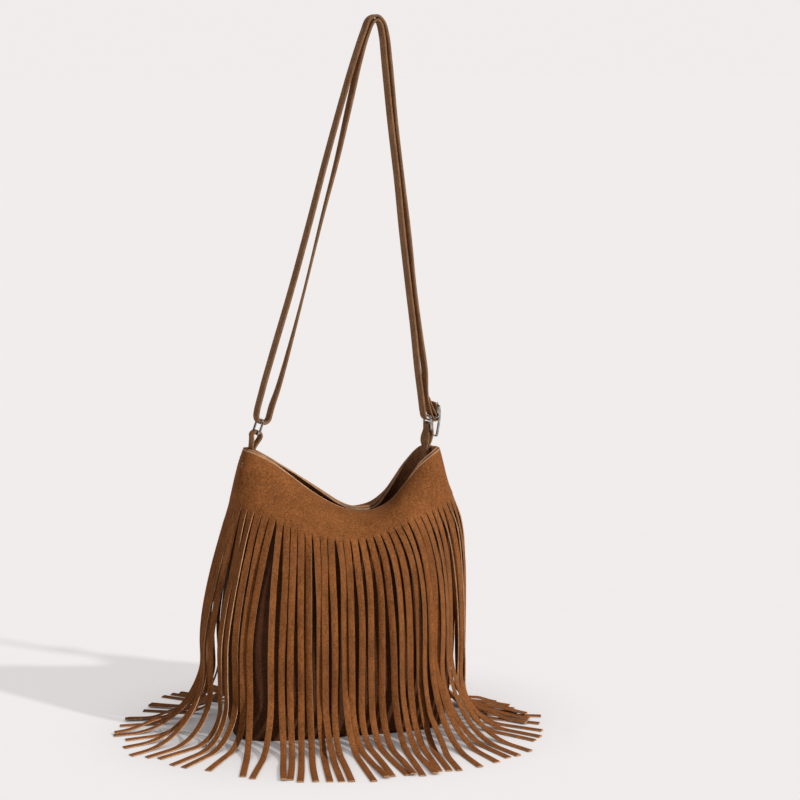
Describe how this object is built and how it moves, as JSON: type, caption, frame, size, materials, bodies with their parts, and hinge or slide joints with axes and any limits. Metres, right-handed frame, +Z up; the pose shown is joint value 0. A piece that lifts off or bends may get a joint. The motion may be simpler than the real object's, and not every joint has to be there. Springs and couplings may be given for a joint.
{
  "type": "fringed suede shoulder bag",
  "caption": "Slouchy open-top suede bag with long fringe panels at front and back and a narrow buckled strap doubled through side rings, standing with its strap up.",
  "frame": {"origin": "middle of the underside of the oval base panel, at the level of the floor that the bag stands on", "axes": "+Z up, +X to the right of someone who faces the front, +Y from the front to the back"},
  "size_m": [0.4017, 0.339, 0.6712],
  "materials": {
    "fringe_suede": "tan napped suede with raw cut edges",
    "inner_suede": "brown napped suede, seen between the strands and inside the mouth",
    "strap_suede": "brown suede strip with a smoother worn face",
    "ring_steel": "polished silver-coloured plating",
    "buckle_steel": "polished silver-coloured plating"
  },
  "bodies": {
    "bag": {"body_front": "inner_suede", "body_back": "inner_suede", "base_panel": "inner_suede", "fringe_front": "fringe_suede", "fringe_back": "fringe_suede", "tab_left": "strap_suede", "tab_right": "strap_suede", "strap": "strap_suede", "buckle_frame": "buckle_steel"},
    "left_ring": {"ring_left": "ring_steel"},
    "right_ring": {"ring_right": "ring_steel"},
    "tongue": {"buckle_tongue": "buckle_steel"}
  },
  "joints": [
    {"name": "left_ring_swing", "type": "hinge", "parent": "bag", "child": "left_ring", "pos_m": [-0.0755, 0, 0.2859], "axis": [-0.2756, 0.9613, 0], "range_deg": [-1, 7]},
    {"name": "right_ring_swing", "type": "hinge", "parent": "bag", "child": "right_ring", "pos_m": [0.0902, 0, 0.2827], "axis": [-0.2756, 0.9613, 0], "range_deg": [-2, 4.5]},
    {"name": "buckle_tongue_turn", "type": "hinge", "parent": "bag", "child": "tongue", "pos_m": [0.09501, 0.00138, 0.295], "axis": [-0.2756, 0.9613, 0], "range_deg": [0, 50]}
  ]
}
